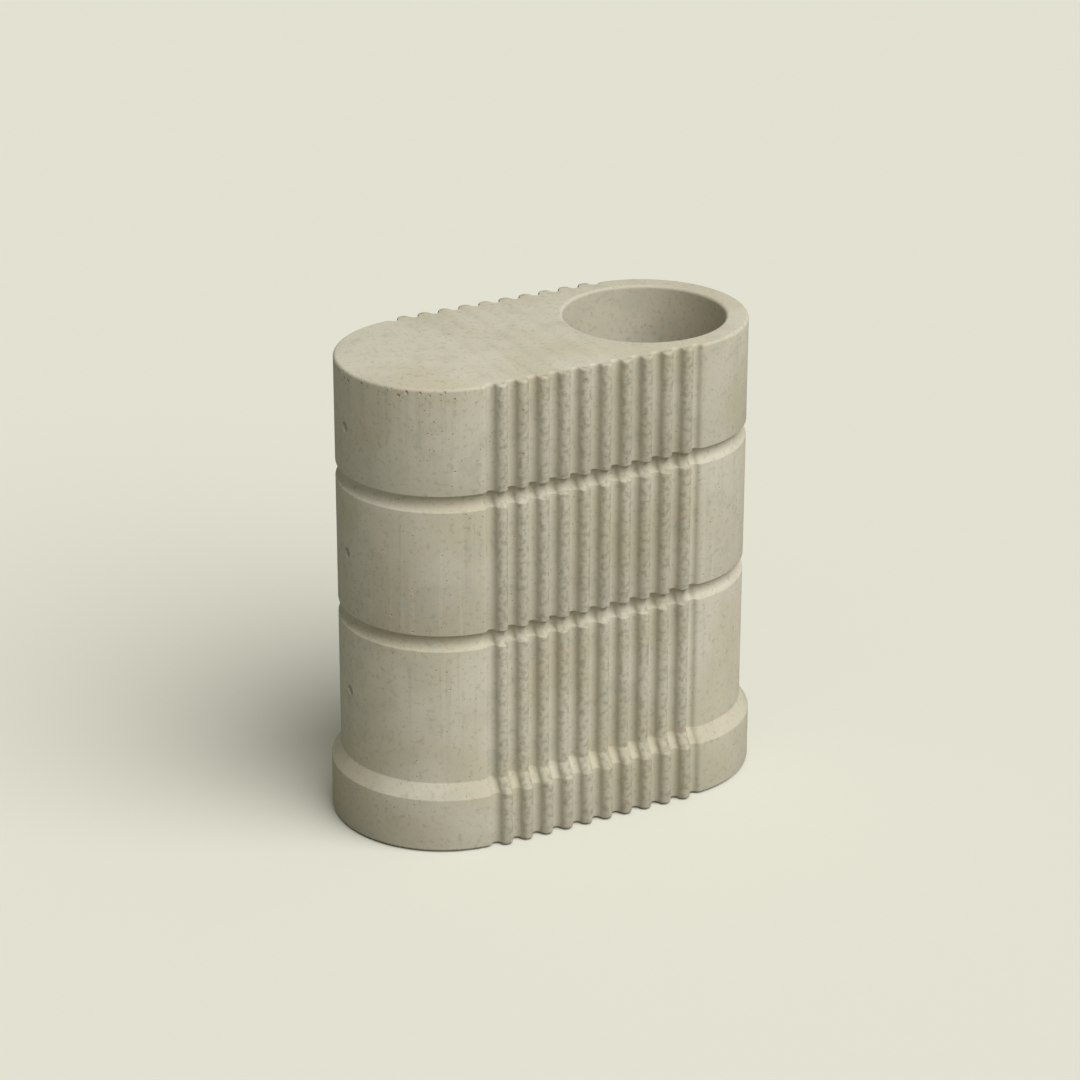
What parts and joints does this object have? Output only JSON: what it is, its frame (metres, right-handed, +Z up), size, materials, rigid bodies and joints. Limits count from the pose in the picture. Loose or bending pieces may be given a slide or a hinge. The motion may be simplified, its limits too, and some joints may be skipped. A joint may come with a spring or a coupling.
{
  "type": "pillar vase",
  "caption": "Cast concrete pillar vase: a reeded block with round ends, grooves and a plinth, and one deep round pocket in its top.",
  "frame": {"origin": "on the floor, under the middle of the block", "axes": "+X along the block towards the end with the pocket, +Y across it towards the back, +Z up"},
  "size_m": [0.14, 0.0732, 0.15],
  "materials": {
    "concrete": "matte",
    "pad_rubber": "matte"
  },
  "bodies": {
    "root": {"vase_body": "concrete", "foot_pad_front_left": "pad_rubber", "foot_pad_front_right": "pad_rubber", "foot_pad_back_left": "pad_rubber", "foot_pad_back_right": "pad_rubber"}
  },
  "joints": []
}
